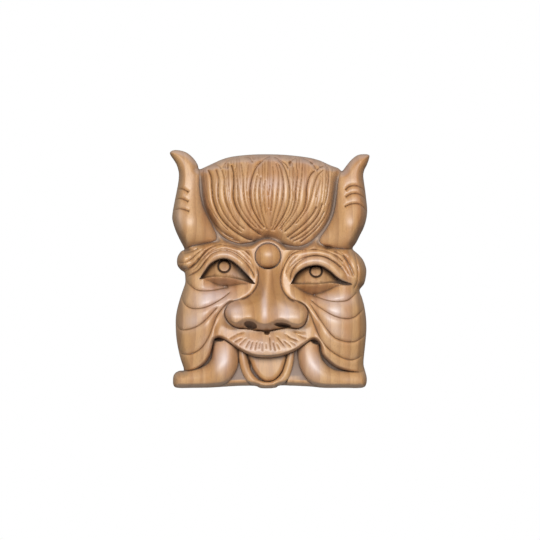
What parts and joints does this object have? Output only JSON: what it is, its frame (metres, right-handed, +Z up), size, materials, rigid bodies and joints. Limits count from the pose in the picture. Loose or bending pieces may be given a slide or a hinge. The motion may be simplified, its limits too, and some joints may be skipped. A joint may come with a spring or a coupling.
{
  "type": "wooden wall mask",
  "caption": "Carved wooden wall mask of a horned, tusked guardian with swept-up hair, fan-lined cheeks and a tongue, flat-backed for hanging.",
  "frame": {"origin": "on the flat back, on the face's middle line, 14 mm below the middle of the hanging hole", "axes": "+X to the viewer's right as the mask hangs, -Y out of the wall towards the viewer, +Z up the wall"},
  "size_m": [0.1993, 0.079, 0.2381],
  "materials": {
    "wood": "satin lacquer over pale tan hardwood"
  },
  "bodies": {
    "root": {"mask": "wood"}
  },
  "joints": []
}
